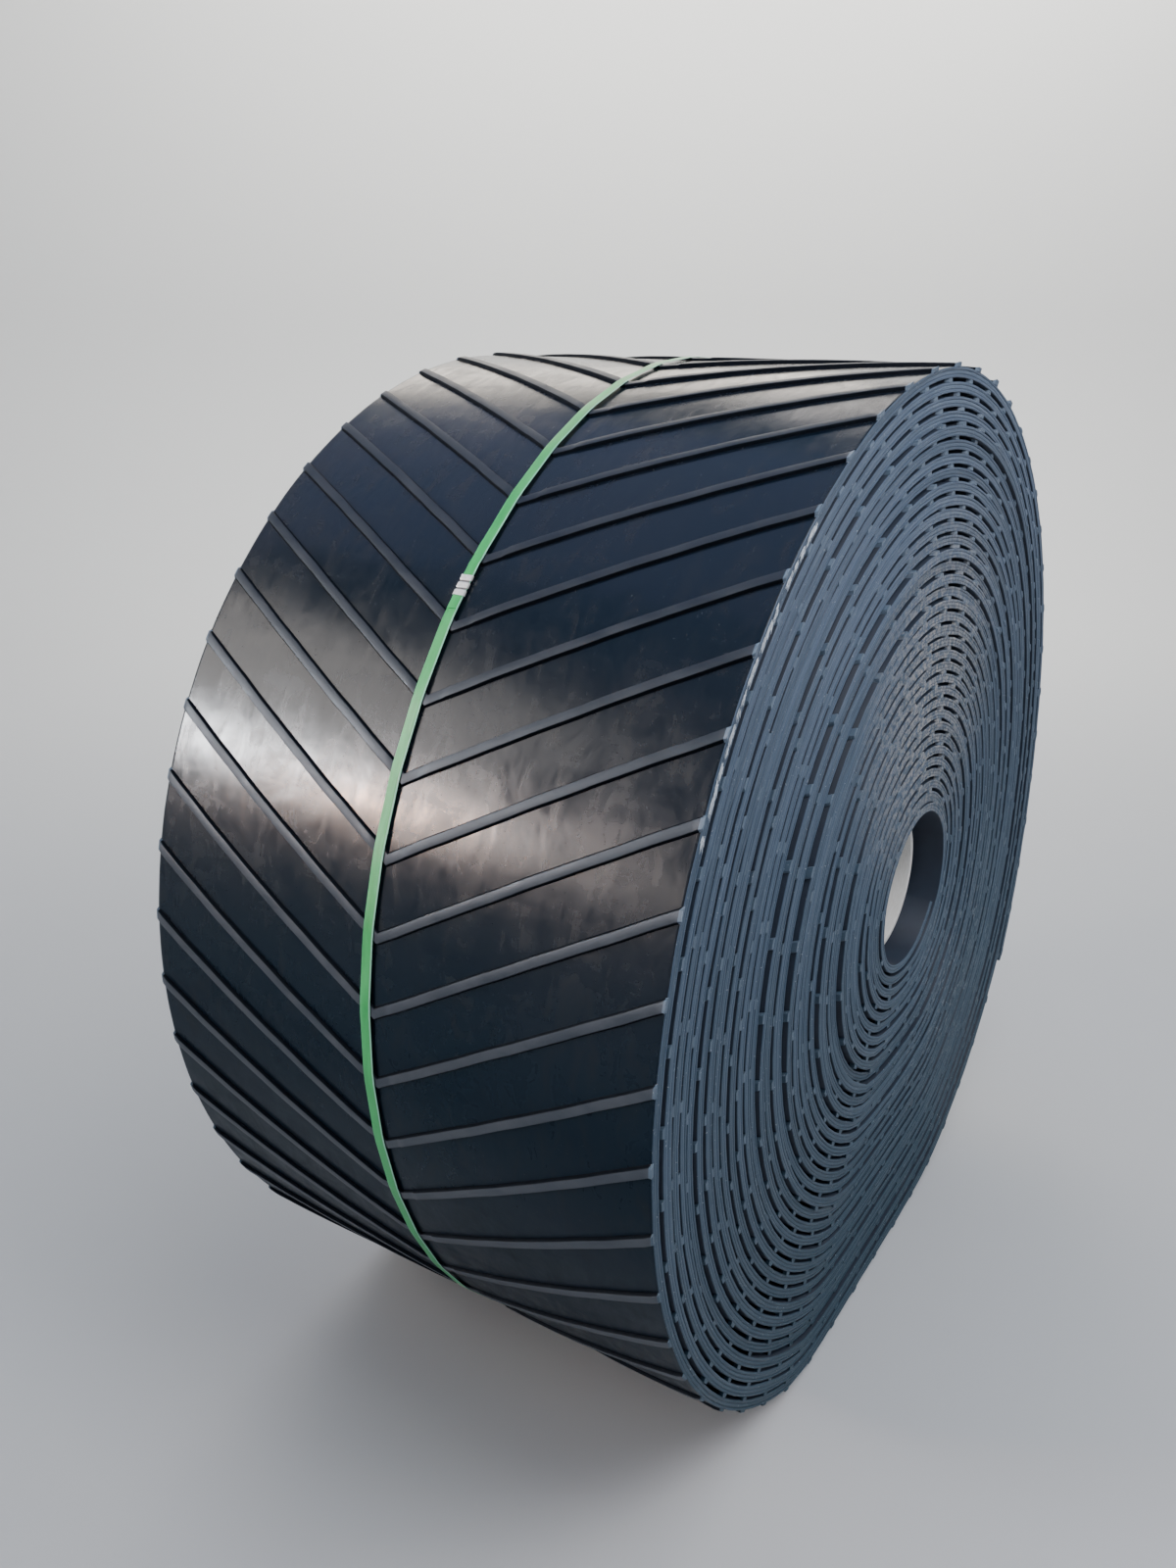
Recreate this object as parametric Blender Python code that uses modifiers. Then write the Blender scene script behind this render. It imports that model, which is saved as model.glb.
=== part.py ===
"""Strapped roll of V-cleated rubber conveyor belting, wound on a tube core.

Frame: X along the roll's axis, Z up, origin under the middle of the roll on the floor.
The belt is one spiral, wound from a loose outer end low at the back, up over the top
and down the front.  Its outline is round, flattened where it rests on the floor and
bulging low at the back.  All lengths are in metres, all angles in degrees.
"""
import math

import bmesh
import bpy
from mathutils import Vector

NAME = "conveyor_belt_roll"

# --- driving dimensions -------------------------------------------------------------
BELT_WIDTH = 0.800           # standard belt width
ROLL_RADIUS = 0.810          # round part of the roll, over the cleats
TURNS = 35                   # full turns from the outer end to the core
FLOOR_RADIUS = 0.945 * ROLL_RADIUS  # the outline is cut off flat this far below the axis
FLOOR_BLEND = 0.05 * ROLL_RADIUS    # how softly the round outline meets the floor flat

CLEAT_PITCH = 0.100          # along the belt, also the facet length of the outer turn
CLEAT_SWEEP = 30.0           # arms swept back from straight across
CLEAT_HEIGHT = 0.0052
CLEAT_TOP = 0.0100           # width of a cleat's flat top
CLEAT_BASE = 0.0140          # width of a cleat's foot
CLEAT_COUNT = 51             # cleats on the outer turn

TOP_COVER = 0.0040
CARCASS = 0.0054
BOTTOM_COVER = 0.0020
GAP = 0.0003                 # between solids that touch

OUTER_FACETS = 52            # facets of one pitch each, a little over one turn
INNER_FACETS = 14            # facets in each of the turns below

TAIL_ANGLE = 211.0           # where the outer end lies, from the front, over the top
TAIL_LIFT = 0.014            # the outer end stands off the turn below by this much
TAIL_LIFT_TURN = 0.07        # and settles within this part of a turn

HOLE_WIDTH = 0.256           # hole through the roll, sagged slightly out of round
HOLE_HEIGHT = 0.246
HOLE_BACK = 0.065            # the hole's centre lies behind the roll's centre
HOLE_DROP = 0.008            # and below it
CORE_WALL = 0.009
CORE_CLEAR = 0.004           # room for the flat facets of the turn around the core
CORE_RECESS = 0.045          # the core's ends lie this deep inside the roll's faces
CORE_FACETS = 40

STRAP_WIDTH = 0.016
STRAP_THICK = 0.0008
STRAP_X = -0.012             # the strap runs a little to the left of the cleat tips
SADDLE_HALF = 0.024          # the strap bites into the cleat tips over this half width
SADDLE_RAMP = 0.003
SADDLE_DEPTH = STRAP_THICK + 1.5 * GAP

SEAL_FACET = 24              # the seal sits between two cleats, at this facet corner
SEAL_LENGTH = 0.030
SEAL_SHEET = 0.0006
SEAL_LEG = 0.006
SEAL_NOTCH = 0.0032
SEAL_NOTCH_SPACING = 0.014
STRAP_END_UNDER = 0.032      # hidden inner end, above the seal's middle
STRAP_END_OVER = 0.045       # visible outer end, below the seal's middle

COVER_DEPTH = CLEAT_HEIGHT + GAP
CARCASS_DEPTH = COVER_DEPTH + TOP_COVER + GAP
BOTTOM_DEPTH = CARCASS_DEPTH + CARCASS + GAP
BELT_DEPTH = BOTTOM_DEPTH + BOTTOM_COVER


# --- outline of the roll --------------------------------------------------------------
def bump(angle, centre, spread):
    """Smooth bump of height 1 at a centre angle."""
    offset = (angle - centre + 180.0) % 360.0 - 180.0
    return math.exp(-(offset / spread) ** 2)


def outline_radius(angle):
    """Radius over the cleats: round, bulging low at the back, flat on the floor."""
    swell = 1.008 + 0.070 * bump(angle, 214.0, 30.0) + 0.012 * bump(angle, 88.0, 25.0)
    round_part = ROLL_RADIUS * swell
    down = -math.sin(math.radians(angle))
    if down < 0.5:
        return round_part
    flat_part = FLOOR_RADIUS / down
    blend = max(FLOOR_BLEND - abs(round_part - flat_part), 0.0) / FLOOR_BLEND
    return min(round_part, flat_part) - blend ** 2 * FLOOR_BLEND / 4.0


def floor_flat_half_angle():
    """Half the angle over which the outline is exactly flat."""
    half = 0.0
    while abs(outline_radius(270.0 + half) * math.cos(math.radians(half)) - FLOOR_RADIUS) < 1e-9:
        half += 0.25
    return half - 0.25


FLAT_HALF = floor_flat_half_angle()


def turn_progress(turned):
    """Turns wound in, held still while the belt crosses the floor flat."""
    whole = math.floor(turned)
    degrees = (turned - whole) * 360.0
    flat_start = TAIL_ANGLE + 90.0 - FLAT_HALF
    moved = min(degrees, flat_start) + max(degrees - flat_start - 2.0 * FLAT_HALF, 0.0)
    return whole + moved / (360.0 - 2.0 * FLAT_HALF)


def direction(angle):
    """Unit direction in the roll's plane, as (Y, Z): 0 is the front, 90 the top."""
    turn = math.radians(angle)
    return Vector((-math.cos(turn), math.sin(turn)))


def belt_point(turned):
    """Point over the cleats after so many turns from the outer end, as (Y, Z)."""
    angle = TAIL_ANGLE - 360.0 * turned
    way = direction(angle)
    outer = outline_radius(angle)
    hole = Vector((HOLE_WIDTH / 2.0 * way.x, HOLE_HEIGHT / 2.0 * way.y))
    hole = hole + way * BELT_DEPTH + Vector((HOLE_BACK, -HOLE_DROP))
    share = turn_progress(turned) / TURNS
    lift = TAIL_LIFT * max(1.0 - turned / TAIL_LIFT_TURN, 0.0) ** 2
    return way * (outer + lift) * (1.0 - share) + hole * share


def step_of_length(turned, length):
    """The number of turns at which the belt has run on by a straight length."""
    low = turned
    high = turned + 0.05
    start = belt_point(turned)
    for _ in range(50):
        middle = (low + high) / 2.0
        if (belt_point(middle) - start).length < length:
            low = middle
        else:
            high = middle
    return low


def belt_stations():
    """Turn counts at the facet corners, from the outer end to the core."""
    stations = [0.0]
    for _ in range(OUTER_FACETS):
        stations.append(step_of_length(stations[-1], CLEAT_PITCH))
    step = 1.0 / INNER_FACETS
    while stations[-1] + step <= TURNS:
        stations.append(stations[-1] + step)
    return stations


def frame_shift():
    """Moves the roll so that it stands on the floor, centred over the origin."""
    ys = [belt_point(i / 720.0).x for i in range(721)]
    flat_ends = [(TAIL_ANGLE + 90.0 + side * FLAT_HALF) / 360.0 for side in (-1.0, 1.0)]
    floor = max(belt_point(turned).y for turned in flat_ends)
    return Vector((-(min(ys) + max(ys)) / 2.0, -floor))


def settled(point):
    """Presses a point of the line over the cleats up to the floor."""
    return Vector((point.x, max(point.y, 0.0)))


SHIFT = frame_shift()
LINE = [settled(belt_point(turned) + SHIFT) for turned in belt_stations()]


def outward(a, b):
    """Outward unit normal of a facet that runs from a to b."""
    along = (b - a).normalized()
    return Vector((along.y, -along.x))


def mitres():
    """Corner vectors that keep each facet parallel at any depth."""
    found = []
    for i in range(len(LINE)):
        before = outward(LINE[max(i - 1, 0)], LINE[max(i, 1)])
        after = outward(LINE[min(i, len(LINE) - 2)], LINE[min(i + 1, len(LINE) - 1)])
        found.append((before + after) / (1.0 + before.dot(after)))
    return found


MITRES = mitres()


def at(facet, depth):
    """Point at a facet coordinate and a depth below the cleat tops, as (Y, Z)."""
    index = min(max(int(math.floor(facet)), 0), len(LINE) - 2)
    share = facet - index
    start = LINE[index] - MITRES[index] * depth
    end = LINE[index + 1] - MITRES[index + 1] * depth
    return start.lerp(end, share)


# --- helpers --------------------------------------------------------------------------
def clear_scene():
    for old in list(bpy.data.objects):
        bpy.data.objects.remove(old, do_unlink=True)


def material(name, colour, roughness, metallic=0.0):
    made = bpy.data.materials.new(name)
    made.use_nodes = True
    shader = made.node_tree.nodes["Principled BSDF"]
    shader.inputs["Base Color"].default_value = (*colour, 1.0)
    shader.inputs["Roughness"].default_value = roughness
    shader.inputs["Metallic"].default_value = metallic
    return made


def collection(name):
    made = bpy.data.collections.new(name)
    bpy.context.scene.collection.children.link(made)
    return made


def poly_curve(name, outlines, half_width, cyclic):
    """Flat curve in the roll's plane, extruded both ways along X."""
    curve = bpy.data.curves.new(name, "CURVE")
    curve.dimensions = "2D"
    curve.fill_mode = "BOTH" if cyclic else "NONE"
    curve.extrude = half_width
    for points in outlines:
        spline = curve.splines.new("POLY")
        spline.points.add(len(points) - 1)
        for target, point in zip(spline.points, points):
            target.co = (point.x, point.y, 0.0, 1.0)
        spline.use_cyclic_u = cyclic
    made = bpy.data.objects.new(name, curve)
    made.rotation_euler = (math.radians(90.0), 0.0, math.radians(90.0))
    return made


def ribbon(name, points, width, thickness, finish, parts):
    """Band whose outer side follows a line, thickened towards the roll's middle."""
    made = poly_curve(name, [points], width / 2.0, cyclic=False)
    made.data.materials.append(finish)
    parts.objects.link(made)
    shell = made.modifiers.new("thickness", "SOLIDIFY")
    shell.thickness = thickness
    shell.offset = 1.0
    shell.use_even_offset = True
    return made


# --- the belt -------------------------------------------------------------------------
def belt_layer(name, depth, thickness, finish, parts):
    """One bonded layer of the belt over its whole wound length."""
    points = [corner - mitre * depth for corner, mitre in zip(LINE, MITRES)]
    return ribbon(name, points, BELT_WIDTH, thickness, finish, parts)


def cleat_sections(tip):
    """Cross-sections of a cleat's right half, from the tip at X = 0 to its outer end.

    Each section has four points: foot and top on the side of the outer end of the
    belt, then top and foot on the other side.  tip is the cleat's facet coordinate.
    """
    slope = math.tan(math.radians(CLEAT_SWEEP)) / CLEAT_PITCH
    widen = 1.0 / (CLEAT_PITCH * math.cos(math.radians(CLEAT_SWEEP)))
    foot = CLEAT_BASE / 2.0 * widen
    top = CLEAT_TOP / 2.0 * widen
    offsets = (-foot, -top, top, foot)

    def section_at_x(x, top_depth):
        depths = (CLEAT_HEIGHT, top_depth, top_depth, CLEAT_HEIGHT)
        return [(x, at(tip - slope * x + shift, depth)) for shift, depth in zip(offsets, depths)]

    def section_at_corner(corner):
        depths = (CLEAT_HEIGHT, 0.0, 0.0, CLEAT_HEIGHT)
        return [((tip + shift - corner) / slope, at(corner, depth))
                for shift, depth in zip(offsets, depths)]

    sections = [section_at_x(0.0, SADDLE_DEPTH), section_at_x(SADDLE_HALF, SADDLE_DEPTH),
                section_at_x(SADDLE_HALF + SADDLE_RAMP, 0.0)]
    last = tip - slope * BELT_WIDTH / 2.0
    corner = math.floor(tip)
    while corner > last and corner >= 0:
        sections.append(section_at_corner(corner))
        corner -= 1
    if last > 0.0:
        sections.append(section_at_x(BELT_WIDTH / 2.0, 0.0))
    return sections


def cleat(number, finish, parts):
    """V-shaped cleat, tip leading towards the core end of the belt."""
    bm = bmesh.new()
    rings = []
    for section in cleat_sections(number - 0.5):
        rings.append([bm.verts.new((x, point.x, point.y)) for x, point in section])
    for inner, outer in zip(rings, rings[1:]):
        for i in range(4):
            after = (i + 1) % 4
            bm.faces.new((inner[i], outer[i], outer[after], inner[after]))
    bm.faces.new(rings[-1])
    bmesh.ops.recalc_face_normals(bm, faces=bm.faces)
    name = f"chevron_{number:02d}"
    mesh = bpy.data.meshes.new(name)
    bm.to_mesh(mesh)
    bm.free()
    mesh.materials.append(finish)
    made = bpy.data.objects.new(name, mesh)
    parts.objects.link(made)
    mirror = made.modifiers.new("left half", "MIRROR")
    mirror.use_axis = (True, False, False)
    mirror.merge_threshold = 0.0001
    return made


# --- the core -------------------------------------------------------------------------
def core_tube(finish, parts):
    """Winding core, pressed slightly out of round like the hole that it fills."""
    outlines = []
    for inset in (CORE_CLEAR, CORE_CLEAR + CORE_WALL):
        ring = []
        for i in range(CORE_FACETS):
            way = direction(360.0 * i / CORE_FACETS)
            ring.append(Vector((way.x * (HOLE_WIDTH / 2.0 - inset) + HOLE_BACK + SHIFT.x,
                                way.y * (HOLE_HEIGHT / 2.0 - inset) - HOLE_DROP + SHIFT.y)))
        outlines.append(ring)
    half = BELT_WIDTH / 2.0 - CORE_RECESS
    made = poly_curve("core_tube", outlines, half, cyclic=True)
    made.data.materials.append(finish)
    parts.objects.link(made)
    return made


# --- the strap and its seal -----------------------------------------------------------
def strap_crossings():
    """Facet coordinates where the strap runs on and off each cleat."""
    drop = abs(STRAP_X) * math.tan(math.radians(CLEAT_SWEEP)) / CLEAT_PITCH
    reach = (CLEAT_TOP + STRAP_WIDTH / 2.0) / 2.0 / CLEAT_PITCH
    pairs = []
    for number in range(1, CLEAT_COUNT + 1):
        middle = number - 0.5 - drop
        pairs.append((middle - reach, middle + reach))
    return pairs


def seal_frame():
    """Middle of the seal on the strap's outer side, and the strap's run there."""
    pairs = strap_crossings()
    start = at(pairs[SEAL_FACET - 1][1], 0.0)
    end = at(pairs[SEAL_FACET][0], 0.0)
    along = (end - start).normalized()
    return (start + end) / 2.0, along, Vector((along.y, -along.x))


def strap(finish, parts):
    """Band round the roll, flush with the cleat tops, its ends lapped in the seal."""
    middle, along, out = seal_frame()
    pairs = strap_crossings()
    lap = out * (STRAP_THICK + GAP)
    points = [middle - along * STRAP_END_UNDER]
    for start, end in pairs[SEAL_FACET:]:
        points.append(at(start, 0.0))
        points.append(at(end, 0.0))
    points.append(at(0.0, COVER_DEPTH - 2.0 * GAP - STRAP_THICK))
    for start, end in pairs[:SEAL_FACET]:
        points.append(at(start, 0.0))
        points.append(at(end, 0.0))
    points.append(middle - along * (STRAP_END_UNDER + 2.0 * STRAP_THICK) + lap)
    points.append(middle + along * STRAP_END_OVER + lap)
    made = ribbon("strap", points, STRAP_WIDTH, STRAP_THICK, finish, parts)
    made.location.x = STRAP_X
    return made


def seal_outline():
    """Folded clip seen along the strap: a back plate, two sides and two legs."""
    half = STRAP_WIDTH / 2.0 + GAP
    top = STRAP_THICK + 2.0 * GAP
    low = -STRAP_THICK - GAP
    wall = SEAL_SHEET
    outer = [(half + wall - SEAL_LEG, low - wall), (half + wall, low - wall),
             (half + wall, top + wall)]
    inner = [(half, top), (half, low), (half + wall - SEAL_LEG, low)]
    right = outer + [(-x, y) for x, y in reversed(outer)]
    left = [(-x, y) for x, y in reversed(inner)] + inner
    return right + left


def strap_seal(finish, parts, cutters):
    """Steel seal round the lapped strap ends, with two crimps on each side."""
    middle, _, out = seal_frame()
    curve = bpy.data.curves.new("strap_seal", "CURVE")
    curve.dimensions = "2D"
    curve.fill_mode = "BOTH"
    curve.extrude = SEAL_LENGTH / 2.0
    spline = curve.splines.new("POLY")
    outline = seal_outline()
    spline.points.add(len(outline) - 1)
    for target, (x, y) in zip(spline.points, outline):
        target.co = (x, y, 0.0, 1.0)
    spline.use_cyclic_u = True
    drawn = bpy.data.objects.new("strap_seal_outline", curve)
    parts.objects.link(drawn)
    bpy.context.view_layer.update()
    mesh = bpy.data.meshes.new_from_object(
        drawn.evaluated_get(bpy.context.evaluated_depsgraph_get()))
    bpy.data.objects.remove(drawn, do_unlink=True)
    bm = bmesh.new()
    bm.from_mesh(mesh)
    bmesh.ops.remove_doubles(bm, verts=bm.verts, dist=0.00001)
    bm.to_mesh(mesh)
    bm.free()
    mesh.name = "strap_seal"
    mesh.materials.clear()
    mesh.materials.append(finish)
    made = bpy.data.objects.new("strap_seal", mesh)
    parts.objects.link(made)
    made.location = (STRAP_X, middle.x, middle.y)
    made.rotation_euler = (math.atan2(out.y, out.x), 0.0, 0.0)
    for side in (-1.0, 1.0):
        for place in (-0.5, 0.5):
            notch(made, side, place * SEAL_NOTCH_SPACING, cutters)
    return made


def notch(made, side, place, cutters):
    """Crimp notch cut into one side of the seal."""
    bpy.ops.mesh.primitive_cube_add(size=SEAL_NOTCH)
    cutter = bpy.context.object
    cutter.name = "crimp_cutter"
    for owner in list(cutter.users_collection):
        owner.objects.unlink(cutter)
    cutters.objects.link(cutter)
    cutter.hide_render = True
    cutter.display_type = "WIRE"
    cutter.parent = made
    cutter.location = (side * (STRAP_WIDTH / 2.0 + GAP + SEAL_SHEET), 0.0, place)
    cutter.rotation_euler = (0.0, math.radians(45.0), 0.0)
    cutter.scale = (1.0, 4.0, 1.0)
    cut = made.modifiers.new("crimp", "BOOLEAN")
    cut.operation = "DIFFERENCE"
    cut.solver = "EXACT"
    cut.object = cutter


def build():
    clear_scene()
    parts = collection(NAME)
    cutters = collection("cutters")
    rubber = material("black_rubber", (0.012, 0.014, 0.018), 0.35)
    cover = material("black_cover_rubber", (0.010, 0.012, 0.016), 0.35)
    fabric = material("rubberised_fabric", (0.055, 0.085, 0.120), 0.85)
    underside = material("pulley_cover_rubber", (0.018, 0.024, 0.032), 0.60)
    board = material("pale_core_board", (0.78, 0.77, 0.74), 0.80)
    plastic = material("green_strap_plastic", (0.06, 0.42, 0.14), 0.40)
    steel = material("zinc_plated_steel", (0.62, 0.62, 0.60), 0.35, 1.0)

    belt_layer("top_cover", COVER_DEPTH, TOP_COVER, cover, parts)
    belt_layer("fabric_carcass", CARCASS_DEPTH, CARCASS, fabric, parts)
    belt_layer("bottom_cover", BOTTOM_DEPTH, BOTTOM_COVER, underside, parts)
    for number in range(1, CLEAT_COUNT + 1):
        cleat(number, rubber, parts)
    core_tube(board, parts)
    strap(plastic, parts)
    strap_seal(steel, parts, cutters)


build()
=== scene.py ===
import math

import bmesh
import bpy
import numpy as np
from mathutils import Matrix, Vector


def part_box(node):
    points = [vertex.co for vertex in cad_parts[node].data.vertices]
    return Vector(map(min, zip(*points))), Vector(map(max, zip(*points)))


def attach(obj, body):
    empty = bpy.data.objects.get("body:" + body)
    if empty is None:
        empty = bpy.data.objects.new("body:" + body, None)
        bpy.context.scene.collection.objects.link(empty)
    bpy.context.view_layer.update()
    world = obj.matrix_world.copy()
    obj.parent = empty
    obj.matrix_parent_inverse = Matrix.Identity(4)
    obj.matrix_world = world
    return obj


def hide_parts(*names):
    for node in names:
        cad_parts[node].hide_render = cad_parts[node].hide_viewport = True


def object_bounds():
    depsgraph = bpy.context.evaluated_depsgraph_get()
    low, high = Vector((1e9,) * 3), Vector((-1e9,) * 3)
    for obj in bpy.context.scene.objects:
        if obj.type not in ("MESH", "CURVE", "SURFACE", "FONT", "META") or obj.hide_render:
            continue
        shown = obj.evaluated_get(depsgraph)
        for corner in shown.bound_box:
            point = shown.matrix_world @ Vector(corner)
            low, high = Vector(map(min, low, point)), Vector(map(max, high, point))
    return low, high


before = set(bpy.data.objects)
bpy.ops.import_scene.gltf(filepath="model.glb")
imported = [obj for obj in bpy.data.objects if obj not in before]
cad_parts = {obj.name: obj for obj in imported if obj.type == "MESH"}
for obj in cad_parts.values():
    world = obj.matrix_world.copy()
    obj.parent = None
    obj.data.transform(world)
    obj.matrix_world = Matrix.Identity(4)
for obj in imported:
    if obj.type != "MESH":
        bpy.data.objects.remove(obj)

# Looks for a strapped roll of V-cleated conveyor belting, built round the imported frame.
# Frame: X along the roll's axis, -Y to the front, Z up.  Metres, and degrees for angles.
#
# A place on the roll is given by three numbers: the turns wound in from the outer end,
# X across the belt, and the depth under the line over the cleat tops.

CAD_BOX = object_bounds()

# --- the roll, as in the frame --------------------------------------------------------
BELT_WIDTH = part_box("top_cover")[1][0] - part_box("top_cover")[0][0]
HALF_WIDTH = BELT_WIDTH / 2.0
ROLL_RADIUS = 0.810                       # from the roll's axis to the cleat tops
TURNS = 35
FLOOR_RADIUS = 0.945 * ROLL_RADIUS        # from the axis to the flattened underside
FLOOR_BLEND = 0.05 * ROLL_RADIUS          # softens the corner between round and flat
FLAT_HALF = 14.5                          # half the angle that the flat takes up
TAIL_ANGLE = 211.0                        # where the outer end lies, 0 being the front
TAIL_LIFT = 0.014                         # how far the outer end springs out
TAIL_LIFT_TURN = 0.07                     # over this share of a turn
HOLE_WIDTH = 0.256
HOLE_HEIGHT = 0.246
HOLE_BACK = 0.065                         # the hole's centre, behind the axis
HOLE_DROP = 0.008                         # and under it
CORE_CLEAR = 0.004                        # room round the core tube
CORE_WALL = 0.009

CLEAT_PITCH = 0.100
CLEAT_ANGLE = math.radians(30.0)          # the arms' sweep
CLEAT_SLOPE = math.tan(CLEAT_ANGLE)
CLEAT_WIDEN = 1.0 / math.cos(CLEAT_ANGLE)  # a slanted bar's width along the belt
CLEAT_HEIGHT = 0.0052
CLEAT_TOP = 0.010                         # width of a cleat's flat top
OUTER_CLEATS = 51
GAP = 0.0003                              # between neighbouring solids
COVER_DEPTH = CLEAT_HEIGHT + GAP
CARCASS_DEPTH = COVER_DEPTH + 0.0040 + GAP
BOTTOM_DEPTH = CARCASS_DEPTH + 0.0054 + GAP
BELT_DEPTH = BOTTOM_DEPTH + 0.0020
OUTER_END = 1.02                          # turns that count as the outer one

STRAP_X = sum(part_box("strap")[i][0] for i in (0, 1)) / 2.0
STRAP_WIDTH = 0.016
STRAP_THICK = 0.0008
SADDLE_HALF = 0.024                       # the strap's bite into each tip
SADDLE_DEPTH = STRAP_THICK + 1.5 * GAP
SEAL_CLEAT = 24                           # the cleat before the seal
SEAL_LENGTH = 0.030
SEAL_CRIMP = 0.0055                       # each crimp's place from the seal's middle
STRAP_END_UNDER = 0.032                   # hidden inner end, from the seal's middle
STRAP_END_OVER = 0.034                    # loose outer end, from the seal's middle

CORE_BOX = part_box("core_tube")
AXIS = np.array([(CORE_BOX[0][1] + CORE_BOX[1][1]) / 2.0 - HOLE_BACK,
                 (CORE_BOX[0][2] + CORE_BOX[1][2]) / 2.0 + HOLE_DROP])


# --- the spiral -----------------------------------------------------------------------
def bump(angle, centre, spread):
    """A smooth rise of 1 at an angle, fading out over the spread."""
    offset = (angle - centre + 180.0) % 360.0 - 180.0
    return np.exp(-(offset / spread) ** 2)


def outline_radius(angle):
    """Radius over the cleats: round, bulging low at the back, flat on the floor."""
    low_back = 0.070 * bump(angle, 214.0, 30.0)
    crown = 0.012 * bump(angle, 88.0, 25.0)
    round_part = ROLL_RADIUS * (1.008 + low_back + crown)
    down = np.maximum(-np.sin(np.radians(angle)), 0.5)      # 1 straight down
    flat_part = FLOOR_RADIUS / down
    blend = np.maximum(FLOOR_BLEND - np.abs(round_part - flat_part), 0.0) / FLOOR_BLEND
    return np.minimum(round_part, flat_part) - blend ** 2 * FLOOR_BLEND / 4.0


def turn_progress(turned):
    """Turns wound in, held still while the belt crosses the floor flat."""
    whole = np.floor(turned)
    degrees = (turned - whole) * 360.0
    flat_start = TAIL_ANGLE + 90.0 - FLAT_HALF
    moved = np.minimum(degrees, flat_start)
    moved = moved + np.maximum(degrees - flat_start - 2.0 * FLAT_HALF, 0.0)
    return whole + moved / (360.0 - 2.0 * FLAT_HALF)


def unevenness(turned):
    """Radial waviness of the looser turns at the front, none at the ends or the back."""
    height = 0.0004
    facing = 0.5 + 0.5 * np.cos(np.radians(TAIL_ANGLE - 360.0 * turned - 20.0))
    lumps = np.sin(2.0 * np.pi * (2.0 + 1.0 / 7.0) * turned)
    lumps = lumps + np.sin(2.0 * np.pi * (3.0 - 1.0 / 9.0) * turned + 1.3)
    starts = np.clip((turned - 1.3) / 1.5, 0.0, 1.0)
    stops = np.clip((TURNS - 2.0 - turned) / 6.0, 0.0, 1.0)
    inside = starts * stops
    return height * lumps * facing ** 2 * inside


def belt_line(turned):
    """Line over the cleats, as (Y, Z), after so many turns from the outer end."""
    turned = np.asarray(turned, dtype=float)
    turn = np.radians(TAIL_ANGLE - 360.0 * turned)
    way = np.stack([-np.cos(turn), np.sin(turn)], axis=-1)
    hole = way * np.array([HOLE_WIDTH / 2.0 + BELT_DEPTH, HOLE_HEIGHT / 2.0 + BELT_DEPTH])
    hole = hole + np.array([HOLE_BACK, -HOLE_DROP])
    share = (turn_progress(turned) / TURNS)[..., None]
    lift = TAIL_LIFT * np.maximum(1.0 - turned / TAIL_LIFT_TURN, 0.0) ** 2
    outer = outline_radius(TAIL_ANGLE - 360.0 * turned) + lift
    line = way * outer[..., None] * (1.0 - share) + hole * share + AXIS
    line = line + way * unevenness(turned)[..., None]
    line[..., 1] = np.maximum(line[..., 1], 0.0)
    return line


def belt_normal(turned):
    """Outward unit normal of the belt line."""
    step = 0.0012
    along = belt_line(turned + step) - belt_line(np.maximum(turned - step, 0.0))
    along = along / np.linalg.norm(along, axis=-1, keepdims=True)
    return np.stack([along[..., 1], -along[..., 0]], axis=-1)


STEPS_PER_TURN = 1440
TABLE_TURNS = np.linspace(0.0, TURNS, TURNS * STEPS_PER_TURN + 1)
TABLE_LENGTHS = np.concatenate([[0.0], np.cumsum(np.linalg.norm(
    np.diff(belt_line(TABLE_TURNS), axis=0), axis=1))])
ARC_PER_CHORD = 1.0 + (CLEAT_PITCH / ROLL_RADIUS) ** 2 / 24.0


def turned_at(length):
    """Turns wound in at a length along the belt from its outer end."""
    return np.interp(length, TABLE_LENGTHS, TABLE_TURNS)


def length_at(turned):
    """Length along the belt at a turn count."""
    return np.interp(turned, TABLE_TURNS, TABLE_LENGTHS)


def on_belt(turned, x, depth):
    """World points at a turn count, a place across and a depth under the cleat tops."""
    turned, x, depth = np.broadcast_arrays(turned, x, depth)
    flat = belt_line(turned) - belt_normal(turned) * depth[..., None]
    return np.concatenate([x[..., None], flat], axis=-1)


def waves(values, seed, periods):
    """Smooth repeatable unevenness between about -1 and 1."""
    draw = np.random.default_rng(seed)
    total = np.zeros_like(np.asarray(values, dtype=float))
    for period in periods:
        total = total + np.sin(2.0 * np.pi * (values / period + draw.random()))
    return total / math.sqrt(len(periods)) / 1.4


def edge_wander(turned, side):
    """How far the belt's edge stands out sideways, turn by turn and along each turn."""
    slow_reach = 0.0030
    fine_reach = 0.0003
    slow_seed, fine_seed = (11, 13) if side > 0 else (12, 14)
    slow = waves(turned, slow_seed, (1.31, 2.3, 0.57, 0.83, 1.9))
    fine = waves(length_at(turned), fine_seed, (0.23, 0.137, 0.071))
    calm = np.clip(turned - 0.4, 0.15, 1.0)
    return slow_reach * slow * calm + fine_reach * fine


def free_gap(turned):
    """Room between a turn's cover and the turn over it, beyond the cleat's height."""
    outer = np.maximum(turned - 1.0, 0.0)
    room = np.linalg.norm(belt_line(outer) - belt_line(turned), axis=-1)
    most = 0.006
    spare = np.clip(room - (BELT_DEPTH - COVER_DEPTH) - CLEAT_HEIGHT, 0.0, most)
    return np.where(turned > 1.0, spare, 0.0)


def swell(turned):
    """Extra thickness of a turn, which takes up most of the free gap under it."""
    share = 0.88
    return share * free_gap(np.minimum(turned + 1.0, TURNS))


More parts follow.
